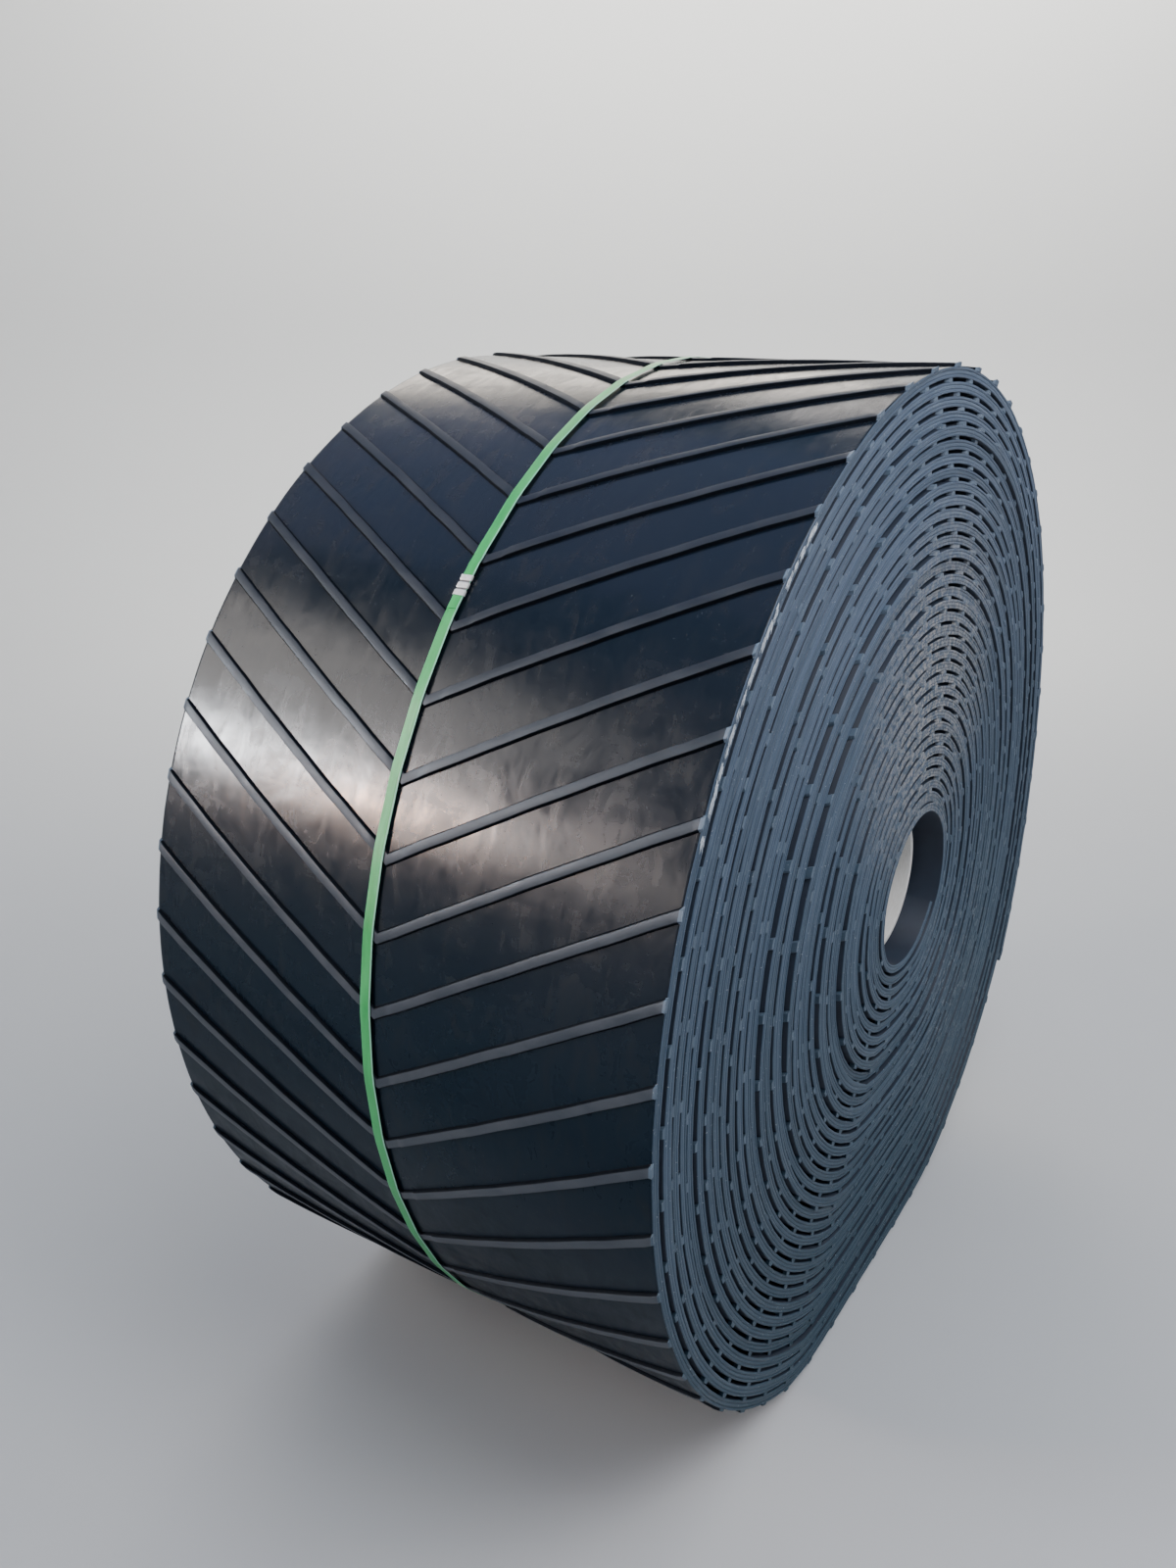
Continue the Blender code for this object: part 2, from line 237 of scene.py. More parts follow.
def sag(turned):
    """How far a turn has settled between the cleats under it, in stretches."""
    deepest = 0.0042
    settled = waves(length_at(turned), 41, (3.7, 2.3, 1.1, 0.61))
    inside = np.clip((turned - 0.9) / 0.4, 0.0, 1.0)
    return deepest * np.clip((settled - 0.60) / 0.20, 0.0, 1.0) * inside


# --- meshes ---------------------------------------------------------------------------
SHARP_ANGLE = 38.0      # edges that turn by more stay sharp


def grid_mesh(name, sheets, caps=True, finishes=()):
    """One object of swept sheets, each a closed section carried along its stations.

    Each sheet is a dict: points (stations, section, 3), belt (stations, section, 3) as
    length along, place across and depth, face_slot (section,) as material indices, and
    cap_slot for the ends, which with rim set also covers the first and last stations.
    turn_over is set where the section runs the other way round.
    """
    verts = []
    coords = []
    faces = []
    slots = []
    base = 0
    for sheet in sheets:
        points = sheet["points"]
        stations, section = points.shape[:2]
        verts.append(points.reshape(-1, 3))
        coords.append(sheet["belt"].reshape(-1, 3))
        i = np.arange(stations - 1)[:, None] * section
        j = np.arange(section)[None, :]
        after = (j + 1) % section
        quads = np.stack([i + j, i + after, i + section + after, i + section + j], axis=-1)
        order = -1 if sheet.get("turn_over") else 1
        faces.extend((quads.reshape(-1, 4)[:, ::order] + base).tolist())
        sides = np.tile(sheet["face_slot"], (stations - 1, 1))
        if sheet.get("rim"):
            sides[[0, -1]] = sheet["cap_slot"]
        slots.extend(sides.ravel().tolist())
        if caps:
            ring = np.arange(section)
            faces.append((ring[::-order] + base).tolist())
            faces.append((ring[::order] + base + (stations - 1) * section).tolist())
            slots.extend([sheet["cap_slot"]] * 2)
        base += stations * section
    mesh = bpy.data.meshes.new(name)
    mesh.from_pydata(np.concatenate(verts).tolist(), [], faces)
    mesh.polygons.foreach_set("material_index", slots)
    layer = mesh.attributes.new("belt", "FLOAT_VECTOR", "POINT")
    layer.data.foreach_set("vector", np.concatenate(coords).ravel())
    for finish in finishes:
        mesh.materials.append(finish)
    mesh.shade_smooth()
    mesh.set_sharp_from_angle(angle=math.radians(SHARP_ANGLE))
    mesh.update()
    made = bpy.data.objects.new(name, mesh)
    bpy.context.scene.collection.objects.link(made)
    return made


def ribbon_sheet(turned, section_x, section_depth, face_slot, cap_slot):
    """Sweeps a closed section, given by place across and depth, along the belt."""
    turned = turned[:, None]
    across = np.broadcast_to(section_x, (turned.shape[0], section_x.shape[-1]))
    depth = np.broadcast_to(section_depth, across.shape)
    points = on_belt(turned, across, depth)
    lengths = np.broadcast_to(length_at(turned), across.shape)
    return {"points": points, "belt": np.stack([lengths, across, depth], axis=-1),
            "face_slot": np.asarray(face_slot), "cap_slot": cap_slot}


def stations_between(start, end, facet, smallest):
    """Turn counts a facet apart, with at least the smallest number in each turn."""
    inmost = HOLE_WIDTH / 2.0
    found = [start]
    while found[-1] < end:
        radius = inmost + (ROLL_RADIUS - inmost) * (1.0 - found[-1] / TURNS)
        step = min(facet / (2.0 * math.pi * radius), 1.0 / smallest)
        found.append(found[-1] + step)
    found[-1] = end
    return np.array(found)


def layer_section(turned, top, bottom, inset, edge_slot, body_slot, columns):
    """Section of one layer at each station: places across, depths and face slots.

    Both edges are rounded and wander; columns adds points across the two flat sides.
    """
    edge_margin = 0.0045
    half = HALF_WIDTH - inset
    right = half + edge_wander(turned, 1.0)[:, None]
    left = -half + edge_wander(turned, -1.0)[:, None]
    thick = bottom - top
    top = np.broadcast_to(top, turned.shape)[:, None]
    thick = np.broadcast_to(thick, turned.shape)[:, None]
    round_x = np.array([0.0011, 0.0003, 0.0, 0.0, 0.0003, 0.0011])
    round_share = np.array([0.0, 0.12, 0.30, 0.70, 0.88, 1.0])
    inner = np.linspace(1.0, -1.0, columns) * (half - edge_margin)
    across = [right - round_x, inner + 0.0 * right,
              left + round_x[::-1], inner[::-1] + 0.0 * right]
    down = [top + thick * round_share, top + thick + 0.0 * inner,
            top + thick * round_share[::-1], top + 0.0 * inner]
    slots = [edge_slot] * (len(round_x) - 1) + [body_slot] * (columns + 1)
    return (np.concatenate(across, axis=1), np.concatenate(down, axis=1),
            np.array(slots * 2))


# --- materials ------------------------------------------------------------------------
class Nodes:
    """Builds one material's node tree. Each method adds a node and returns its output."""

    def __init__(self, name):
        self.material = bpy.data.materials.new(name)
        self.material.use_nodes = True
        self.tree = self.material.node_tree
        self.shader = self.tree.nodes["Principled BSDF"]

    def add(self, kind, **settings):
        node = self.tree.nodes.new(kind)
        for key, value in settings.items():
            setattr(node, key, value)
        return node

    def link(self, source, target):
        self.tree.links.new(source, target)

    def belt(self, scale):
        """Coordinates along, across and into the belt, scaled."""
        source = self.add("ShaderNodeAttribute", attribute_name="belt")
        mapping = self.add("ShaderNodeMapping")
        mapping.inputs["Scale"].default_value = scale
        self.link(source.outputs["Vector"], mapping.inputs["Vector"])
        return mapping.outputs["Vector"]

    def noise(self, vector, scale, detail=4.0, rough=0.55, distortion=0.0):
        """Fractal noise, mostly between 0.3 and 0.7."""
        node = self.add("ShaderNodeTexNoise")
        node.inputs["Scale"].default_value = scale
        node.inputs["Detail"].default_value = detail
        node.inputs["Roughness"].default_value = rough
        node.inputs["Distortion"].default_value = distortion
        self.link(vector, node.inputs["Vector"])
        return node.outputs["Fac"]

    def position(self):
        return self.add("ShaderNodeNewGeometry").outputs["Position"]

    def height(self):
        """Height over the floor, for the dust that settles low down."""
        split = self.add("ShaderNodeSeparateXYZ")
        self.link(self.position(), split.inputs["Vector"])
        return split.outputs["Z"]

    def near(self, middle, full, none):
        """1 within the full distance of a point, falling to 0 at the other distance."""
        away = self.add("ShaderNodeVectorMath", operation="DISTANCE")
        self.link(self.position(), away.inputs[0])
        away.inputs[1].default_value = middle
        return self.remap(away.outputs["Value"], full, none, 1.0, 0.0)

    def remap(self, value, low, high, out_low, out_high):
        """Carries low..high over to out_low..out_high, and holds beyond them."""
        node = self.add("ShaderNodeMapRange")
        node.inputs["From Min"].default_value = low
        node.inputs["From Max"].default_value = high
        node.inputs["To Min"].default_value = out_low
        node.inputs["To Max"].default_value = out_high
        self.link(value, node.inputs["Value"])
        return node.outputs["Result"]

    def blend(self, factor, first, second):
        """Mixes two colours, each a tuple or another node's output."""
        node = self.add("ShaderNodeMix", data_type="RGBA")
        self.link(factor, node.inputs["Factor"])
        for colour, socket in ((first, node.inputs[6]), (second, node.inputs[7])):
            if isinstance(colour, tuple):
                socket.default_value = (*colour, 1.0)
            else:
                self.link(colour, socket)
        return node.outputs[2]

    def sum(self, first, second, operation="ADD"):
        """Adds two values, or combines them by another operation."""
        node = self.add("ShaderNodeMath", operation=operation)
        for value, socket in ((first, node.inputs[0]), (second, node.inputs[1])):
            if isinstance(value, float):
                socket.default_value = value
            else:
                self.link(value, socket)
        return node.outputs["Value"]

    def bump(self, height, strength, distance, under=None):
        """Fine relief, laid over another relief where one is given."""
        node = self.add("ShaderNodeBump")
        node.inputs["Strength"].default_value = strength
        node.inputs["Distance"].default_value = distance
        self.link(height, node.inputs["Height"])
        if under is not None:
            self.link(under, node.inputs["Normal"])
        return node.outputs["Normal"]

    def finish(self, colour, roughness, normal=None, **values):
        """Sets the shader's inputs; other inputs are named with _ for a space."""
        self.link(colour, self.shader.inputs["Base Color"])
        if isinstance(roughness, float):
            self.shader.inputs["Roughness"].default_value = roughness
        else:
            self.link(roughness, self.shader.inputs["Roughness"])
        if normal is not None:
            self.link(normal, self.shader.inputs["Normal"])
        for socket, value in values.items():
            self.shader.inputs[socket.replace("_", " ")].default_value = value
        return self.material


def tread_rubber():
    """Glossy moulded cover with smears and a thin film, rougher low down, where its reflection
    is dimmed and tinted teal as painted shade.
    """
    n = Nodes("tread_rubber")
    haze = n.noise(n.belt((3.2, 5.0, 1.0)), 1.0, 4.0, 0.55, 0.4)
    smear = n.noise(n.belt((13.0, 30.0, 1.0)), 1.0, 6.0, 0.62, 1.2)
    wipe = n.noise(n.belt((34.0, 9.0, 1.0)), 1.0, 5.0, 0.6, 0.6)
    speck = n.noise(n.belt((1.0, 1.0, 1.0)), 260.0, 2.0, 0.5)
    film = n.blend(n.remap(haze, 0.35, 0.75, 0.0, 1.0),
                   (0.0022, 0.0060, 0.0125), (0.0062, 0.0088, 0.0150))
    film = n.blend(n.remap(smear, 0.52, 0.75, 0.0, 0.5), film, (0.0150, 0.0140, 0.0140))
    colour = n.blend(n.remap(speck, 0.71, 0.78, 0.0, 0.5), film, (0.05, 0.055, 0.06))
    rough = n.sum(n.remap(haze, 0.30, 0.75, 0.16, 0.25), n.remap(smear, 0.35, 0.7, -0.03, 0.09))
    rough = n.sum(rough, n.remap(wipe, 0.45, 0.75, 0.0, 0.08))
    rough = n.sum(rough, n.remap(n.height(), 0.25, 0.95, 0.20, 0.0))
    peel = n.noise(n.belt((1.0, 1.0, 1.0)), 420.0, 3.0, 0.6)
    waviness = n.noise(n.belt((9.0, 12.0, 1.0)), 1.0, 3.0, 0.5, 0.5)
    normal = n.bump(peel, 0.06, 0.0004)
    normal = n.bump(waviness, 0.16, 0.0060, normal)
    # Low on the roll the reflection is dimmed and tinted teal: painted shade and a painted
    # reflection colour.
    clear = n.remap(n.height(), 0.75, 1.0, 0.0, 1.0)
    n.link(n.remap(clear, 0.0, 1.0, 0.16, 0.5), n.shader.inputs["Specular IOR Level"])
    n.link(n.blend(clear, (0.22, 0.70, 1.0), (1.0, 1.0, 1.0)), n.shader.inputs["Specular Tint"])
    return n.finish(colour, rough, normal, IOR=1.50)


def cleat_rubber():
    """Moulded cleat with rubbed tops, dustier low on the roll, and flanks painted near black
    with little reflection as painted shade.
    """
    n = Nodes("cleat_rubber")
    patch = n.noise(n.belt((30.0, 14.0, 1.0)), 1.0, 5.0, 0.6, 0.5)
    fine = n.noise(n.belt((1.0, 1.0, 1.0)), 300.0, 3.0, 0.6)
    wear_and_flank_shade = n.add("ShaderNodeAttribute", attribute_name="wear_and_flank_shade").outputs["Fac"]
    # The flanks' near-black colour and weak reflection are painted shade lines; the paler tops
    # are rubbed rubber.
    side = (0.0025, 0.0035, 0.0060)
    clean = n.blend(n.remap(patch, 0.35, 0.7, 0.0, 1.0), (0.010, 0.013, 0.020),
                    (0.022, 0.025, 0.033))
    dusty = n.blend(n.remap(patch, 0.35, 0.7, 0.0, 1.0), (0.024, 0.031, 0.042),
                    (0.050, 0.056, 0.068))
    top = n.blend(n.remap(n.height(), 0.85, 1.25, 1.0, 0.0), clean, dusty)
    colour = n.blend(wear_and_flank_shade, side, top)
    rough = n.remap(patch, 0.3, 0.7, 0.40, 0.55)
    n.link(n.remap(wear_and_flank_shade, 0.0, 1.0, 0.04, 0.5), n.shader.inputs["Specular IOR Level"])
    return n.finish(colour, rough, n.bump(fine, 0.25, 0.0004), IOR=1.50,
                    Specular_Tint=(0.80, 0.90, 1.0, 1.0))


GRITTY_PLACE = (HALF_WIDTH, 0.06, 1.06)
# Where pale flecks are painted on the cut as highlights.
PAINTED_GLINT_PLACE = (HALF_WIDTH, 0.34, 0.40)


def edge_rubber(name, low, high):
    """Cut edge of the belt: dusty blue-grey, streaked along the cut, scuffed in places.

    Grit lies thick over the hole, pale flecks low at the back are painted highlights,
    and the whole darkens towards the floor as painted shade.
    """
    n = Nodes(name)
    streak = n.noise(n.belt((9.0, 1.0, 900.0)), 1.0, 4.0, 0.6)
    patch = n.noise(n.belt((7.0, 1.0, 120.0)), 1.0, 5.0, 0.65)
    turns = n.noise(n.belt((0.9, 1.0, 60.0)), 1.0, 2.0, 0.5)
    speck = n.noise(n.belt((1.0, 1.0, 1.0)), 330.0, 2.0, 0.5)
    colour = n.blend(n.remap(streak, 0.36, 0.64, 0.0, 1.0), low, high)
    colour = n.blend(n.remap(turns, 0.42, 0.66, 0.0, 0.65), colour, (0.045, 0.070, 0.105))
    colour = n.blend(n.remap(patch, 0.58, 0.80, 0.0, 0.5), colour, (0.20, 0.25, 0.30))
    grit = n.noise(n.position(), 95.0, 4.0, 0.7)
    settled = n.sum(n.near(GRITTY_PLACE, 0.10, 0.34), n.remap(grit, 0.44, 0.60, 0.0, 1.0),
                    "MULTIPLY")
    colour = n.blend(settled, colour, (0.36, 0.345, 0.33))
    # Pale flecks low at the back of the cut are painted highlights.
    fleck = n.noise(n.belt((70.0, 1.0, 420.0)), 1.0, 3.0, 0.6)
    painted_glints = n.sum(n.near(PAINTED_GLINT_PLACE, 0.10, 0.36), n.remap(fleck, 0.58, 0.66, 0.0, 0.9),
                    "MULTIPLY")
    colour = n.blend(painted_glints, colour, (0.46, 0.50, 0.53))
    # Darker towards the floor: painted shade.
    colour = n.blend(n.remap(n.height(), 0.10, 1.35, 0.84, 0.0), colour, (0.004, 0.034, 0.056))
    colour = n.blend(n.remap(speck, 0.69, 0.76, 0.0, 0.8), colour, (0.40, 0.44, 0.47))
    grain = n.noise(n.belt((1.0, 1.0, 1.0)), 700.0, 3.0, 0.6)
    normal = n.bump(n.sum(streak, grain), 0.5, 0.0006)
    return n.finish(colour, n.remap(patch, 0.3, 0.7, 0.50, 0.72), normal)


def inner_rubber():
    """Dark covers and cleats between the turns."""
    n = Nodes("inner_rubber")
    patch = n.noise(n.belt((10.0, 10.0, 1.0)), 1.0, 4.0)
    colour = n.blend(n.remap(patch, 0.35, 0.7, 0.0, 1.0), (0.006, 0.012, 0.026),
                     (0.012, 0.022, 0.042))
    fine = n.noise(n.belt((1.0, 1.0, 1.0)), 300.0, 3.0)
    return n.finish(colour, 0.6, n.bump(fine, 0.2, 0.0004))


EMBOSS_PITCH = 0.0028


def strap_plastic():
    """Embossed green strapping, with painted highlights along its edges and painted shade
    darker low down.
    """
    n = Nodes("strap_plastic")
    source = n.add("ShaderNodeAttribute", attribute_name="belt")
    split = n.add("ShaderNodeSeparateXYZ")
    n.link(source.outputs["Vector"], split.inputs["Vector"])
    centred = n.sum(split.outputs["Y"], -STRAP_X)
    # The pale bands along both edges, marked here, are painted highlights.
    rubbed = n.remap(centred, 0.34 * STRAP_WIDTH, 0.42 * STRAP_WIDTH, 0.0, 1.0)
    edge = n.sum(rubbed, n.remap(centred, -0.46 * STRAP_WIDTH, -0.50 * STRAP_WIDTH, 0.0, 0.6))
    rows = []
    for sign in (1.0, -1.0):
        slant = n.sum(split.outputs["X"], n.sum(centred, sign, "MULTIPLY"))
        turn = n.sum(slant, 2.0 * math.pi / EMBOSS_PITCH, "MULTIPLY")
        sine = n.add("ShaderNodeMath", operation="SINE")
        n.link(turn, sine.inputs[0])
        rows.append(sine.outputs["Value"])
    emboss = n.sum(rows[0], rows[1], "MULTIPLY")
    shade = n.noise(n.belt((16.0, 90.0, 1.0)), 1.0, 5.0, 0.6)
    body = n.blend(n.remap(shade, 0.35, 0.7, 0.0, 1.0), (0.016, 0.320, 0.070),
                   (0.036, 0.440, 0.115))
    # Darker low down: painted shade.
    body = n.blend(n.remap(n.height(), 0.10, 0.90, 0.60, 0.0), body, (0.008, 0.150, 0.060))
    colour = n.blend(n.sum(edge, 0.75, "MULTIPLY"), body, (0.34, 0.66, 0.52))
    rough = n.remap(shade, 0.3, 0.7, 0.27, 0.42)
    return n.finish(colour, rough, n.bump(emboss, 0.35, 0.00025), IOR=1.57)


def seal_steel():
    """Zinc plated strip steel with rolling lines; its two crimps are painted dark as shade."""
    n = Nodes("seal_steel")
    lines = n.noise(n.belt((40.0, 900.0, 1.0)), 1.0, 3.0)
    dull = n.noise(n.belt((120.0, 120.0, 120.0)), 1.0, 4.0)
    split = n.add("ShaderNodeSeparateXYZ")
    n.link(n.belt((1.0, 1.0, 1.0)), split.inputs["Vector"])
    along = n.add("ShaderNodeMath", operation="ABSOLUTE")
    n.link(split.outputs["X"], along.inputs[0])
    from_crimp = n.add("ShaderNodeMath", operation="ABSOLUTE")
    n.link(n.sum(along.outputs["Value"], -SEAL_CRIMP), from_crimp.inputs[0])
    # Dark paint in the two crimps: painted shade in the pressed grooves.
    crimp = n.remap(from_crimp.outputs["Value"], 0.0009, 0.0019, 0.9, 0.0)
    steel = n.blend(n.remap(dull, 0.4, 0.7, 0.0, 1.0), (0.95, 0.95, 0.93), (0.74, 0.74, 0.72))
    colour = n.blend(crimp, steel, (0.10, 0.09, 0.08))
    rough = n.sum(n.remap(lines, 0.3, 0.7, 0.42, 0.52), n.remap(dull, 0.4, 0.7, 0.0, 0.15))
    return n.finish(colour, rough, n.bump(lines, 0.15, 0.0002), Metallic=0.8)


def core_board():
    """Pale spiral-wound board with fibres and a faint seam."""
    n = Nodes("core_board")
    fibre = n.noise(n.belt((60.0, 420.0, 1.0)), 1.0, 5.0, 0.65)
    patch = n.noise(n.belt((6.0, 6.0, 1.0)), 1.0, 3.0)
    base = n.blend(n.remap(fibre, 0.35, 0.68, 0.0, 1.0), (0.90, 0.89, 0.86), (0.78, 0.76, 0.71))
    colour = n.blend(n.remap(patch, 0.45, 0.75, 0.0, 0.5), base, (0.60, 0.58, 0.53))
    return n.finish(colour, 0.85, n.bump(fibre, 0.4, 0.0005))


def fibre_white():
    """Pale dusty ply thread."""
    n = Nodes("fibre_white")
    patch = n.noise(n.belt((80.0, 80.0, 80.0)), 1.0, 2.0)
    colour = n.blend(patch, (0.84, 0.87, 0.90), (0.50, 0.58, 0.66))
    return n.finish(colour, 0.7)


TREAD = tread_rubber()
CLEAT = cleat_rubber()
EDGE_COVER = edge_rubber("edge_cover", (0.050, 0.082, 0.132), (0.096, 0.134, 0.200))
EDGE_PLIES = edge_rubber("edge_plies", (0.064, 0.100, 0.152), (0.118, 0.162, 0.232))
EDGE_CLEAT = edge_rubber("edge_cleat", (0.082, 0.124, 0.178), (0.152, 0.202, 0.270))
INSIDE = inner_rubber()


def place(piece, slot, *nodes):
    """Hangs a piece on the one body and hides the nodes it stands for; slot is not used."""
    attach(piece, "root")
    if nodes:
        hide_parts(*nodes)


# --- the belt -------------------------------------------------------------------------
def belt_layer(name, start, end, facet, smallest, top, bottom, inset, columns, finishes):
    """One layer of the belt between two turn counts; the lowest fills the gap under it."""
    turned = stations_between(start, end, facet, smallest)
    extra = swell(turned) + sag(turned) if bottom == BELT_DEPTH else 0.0 * turned
    across, down, slots = layer_section(turned, top, bottom + extra, inset, 1, 0, columns)
    sheet = ribbon_sheet(turned, across, down, slots, 1)
    sheet["turn_over"] = True
    return grid_mesh(name, [sheet], finishes=finishes)


def build_belt():
    """Top cover, carcass and pulley cover, a hair apart; the outer turn's cover is finer."""
    skin = 0.00005
    fine, coarse = (0.0085, 96), (0.040, 52)      # facet, and the fewest in a turn
    cover_bottom = CARCASS_DEPTH - skin
    outer = belt_layer("top_cover_outer_turn", 0.0, OUTER_END, *fine, COVER_DEPTH,
                       cover_bottom, 0.0, 14, (TREAD, EDGE_COVER))
    place(outer, "cover_rubber", "top_cover")
    inner = belt_layer("top_cover_inner_turns", OUTER_END, TURNS, *coarse, COVER_DEPTH,
                       cover_bottom, 0.0, 0, (INSIDE, EDGE_COVER))
    place(inner, "cover_rubber")
    carcass = belt_layer("carcass", 0.0, TURNS, *coarse, CARCASS_DEPTH,
                         BOTTOM_DEPTH - skin, 0.0004, 0, (INSIDE, EDGE_PLIES))
    place(carcass, "fabric_plies", "fabric_carcass")
    under = belt_layer("pulley_cover", 0.0, TURNS, *coarse, BOTTOM_DEPTH, BELT_DEPTH,
                       0.0001, 0, (INSIDE, EDGE_COVER))
    place(under, "cover_rubber", "bottom_cover")


# --- the cleats -----------------------------------------------------------------------
CLEAT_SHAPE = np.array((      # place along the belt and height, from foot to foot
    (-0.0084, -0.00015), (-0.0074, 0.00025), (-0.0069, 0.0009), (-0.0061, 0.0043),
    (-0.0057, 0.0050), (-0.0049, 0.0052), (0.0049, 0.0052), (0.0057, 0.0050),
    (0.0061, 0.0043), (0.0069, 0.0009), (0.0074, 0.00025), (0.0084, -0.00015)))
# 1 on the rubbed tops; 0 on the flanks, which are painted near black as shade.
CLEAT_WEAR_AND_FLANK_SHADE = np.array([0, 0, 0, 0.1, 0.8, 1, 1, 0.8, 0.1, 0, 0, 0], dtype=float)
FLANK = 0.003                      # points higher than this belong to a cleat's top
BURRED_CLEATS = range(17, 34)      # torn at the right edge; the others are trimmed low
BURR_RISE = (0.0004, 0.0026)       # least and most that a torn end stands up
TRIM_DROP = 0.0024
TORN_FLASH = (0.0006, 0.0028)      # least and most that an end sticks out sideways
CLEAN_FLASH = (0.0, 0.0006)
END_MARGIN = 0.009                 # an arm stops this short of the belt's end


def both_halves(half):
    """Places across from edge to edge, from those on the right half."""
    return np.concatenate([-half[:0:-1], half])


def finish_cleat_ends(number, turned, across, height):
    """Burrs or trimmed slopes at a full-width cleat's two ends, changed in place."""
    draw = np.random.default_rng(500 + number)
    for end, beside, side in ((0, 1, -1.0), (-1, -2, 1.0)):
        burred = side > 0.0 and number in BURRED_CLEATS
        rise = draw.uniform(*BURR_RISE) if burred else -TRIM_DROP
        flash = draw.uniform(*(TORN_FLASH if burred else CLEAN_FLASH))
        raised = height[end] > FLANK
        across[end] = side * HALF_WIDTH + edge_wander(turned[end], side)
        across[end] = across[end] + side * flash * np.where(raised, 1.0, 0.4)
        height[end] = height[end] + np.where(raised, rise, 0.0)
        height[beside] = height[beside] + np.where(raised, min(rise, 0.0) / 2.0, 0.0)


def outer_cleat(number):
    """One V cleat of the outer turn, cut off where the belt's end cuts it."""
    tip = (number - 0.5) * CLEAT_PITCH * ARC_PER_CHORD
    reach = min(HALF_WIDTH, (tip - END_MARGIN) / CLEAT_SLOPE)
    whole = reach == HALF_WIDTH
    near = np.array([0.0, 0.010, 0.018, SADDLE_HALF - 0.002, SADDLE_HALF + 0.003])
    far_points = 29 if reach > 0.2 else 7
    far = np.linspace(SADDLE_HALF + 0.012, reach - 0.012, far_points)
    x = both_halves(np.concatenate([near, far, [reach - 0.003, reach]]))
    along = (tip - np.abs(x) * CLEAT_SLOPE)[:, None] + CLEAT_SHAPE[None, :, 0] * CLEAT_WIDEN
    crooked = 0.0005 * waves(x * 3.0 + number, 21, (0.9, 0.37, 0.21))
    along = along + crooked[:, None]
    saddle = np.where(np.abs(x) < SADDLE_HALF, SADDLE_DEPTH, 0.0)[:, None]
    rubbed = 0.0001 * waves(x * 5.0 + number, 22, (0.7, 0.29))[:, None] - 0.0001
    height = np.broadcast_to(CLEAT_SHAPE[None, :, 1], along.shape).copy()
    height = height + np.where(height > FLANK, rubbed, 0.0)
    height = np.where(height > FLANK, height - saddle, height)
    turned = turned_at(np.maximum(along, 0.0))
    across = np.broadcast_to(x[:, None], along.shape).copy()
    if whole:
        finish_cleat_ends(number, turned, across, height)
    depth = COVER_DEPTH - height
    points = on_belt(turned, across, depth)
    points[..., 2] = np.maximum(points[..., 2], 0.0)
    return {"points": points, "belt": np.stack([along, across, depth], axis=-1),
            "face_slot": np.zeros(len(CLEAT_SHAPE), dtype=int), "cap_slot": 1, "rim": whole}


def build_outer_cleats():
    """The cleats in sight, with a point attribute that is 1 on their rubbed tops and 0 on the
    flanks painted dark as shade.
    """
    sheets = [outer_cleat(number) for number in range(1, OUTER_CLEATS + 1)]
    cleats = grid_mesh("outer_cleats", sheets, finishes=(CLEAT, EDGE_CLEAT))
    wear_and_flank_shade = np.concatenate([np.tile(CLEAT_WEAR_AND_FLANK_SHADE, len(sheet["points"])) for sheet in sheets])
    layer = cleats.data.attributes.new("wear_and_flank_shade", "FLOAT", "POINT")
    layer.data.foreach_set("value", wear_and_flank_shade)
    names = [f"chevron_{number:02d}" for number in range(1, OUTER_CLEATS + 1)]
    place(cleats, "cleat_rubber", *names)


def inner_cleat(tip):
    """A cleat pressed between two turns, as high as the gap it bridges."""
    rough_radius = 0.12 + 0.7 * (1.0 - turned_at(tip) / TURNS)
    steps = max(3, int(0.25 / (0.12 * rough_radius)))
    half = np.linspace(0.0, HALF_WIDTH - 0.006, steps + 1)
    x = both_halves(np.append(half, HALF_WIDTH))
    foot = np.array([-0.0072, -0.0052, 0.0052, 0.0072]) * CLEAT_WIDEN
    clear = 0.00025                    # under the turn above
    sunk = -0.0001                     # into the cover below
    along = (tip - np.abs(x) * CLEAT_SLOPE)[:, None] + foot[None, :]
    turned = np.minimum(turned_at(along), TURNS)
    raised = CLEAT_HEIGHT + free_gap(turned) - swell(turned - 1.0) - clear
    height = np.where(np.array([False, True, True, False])[None, :], raised, sunk)
    across = np.broadcast_to(x[:, None], along.shape).copy()
    draw = np.random.default_rng(int(tip * 1000.0))
    for row, side in ((0, -1.0), (-1, 1.0)):
        proud = draw.uniform(-0.0006, 0.0007)
        across[row] = side * (HALF_WIDTH + proud) + edge_wander(turned[row], side)
    depth = COVER_DEPTH - height
    return {"points": on_belt(turned, across, depth),
            "belt": np.stack([along, across, depth], axis=-1),
            "face_slot": np.zeros(len(foot), dtype=int), "cap_slot": 1, "rim": True}


def build_inner_cleats():
    """All further cleats, one every pitch, in to the core."""
    pitch = CLEAT_PITCH * ARC_PER_CHORD
    first = (OUTER_CLEATS + 0.5) * pitch
    last = TABLE_LENGTHS[-1] - 0.02
    tips = np.arange(first, last, pitch)      # lengths along the belt
    cleats = grid_mesh("inner_cleats", [inner_cleat(tip) for tip in tips],
                       finishes=(INSIDE, EDGE_CLEAT))
    place(cleats, "cleat_rubber")


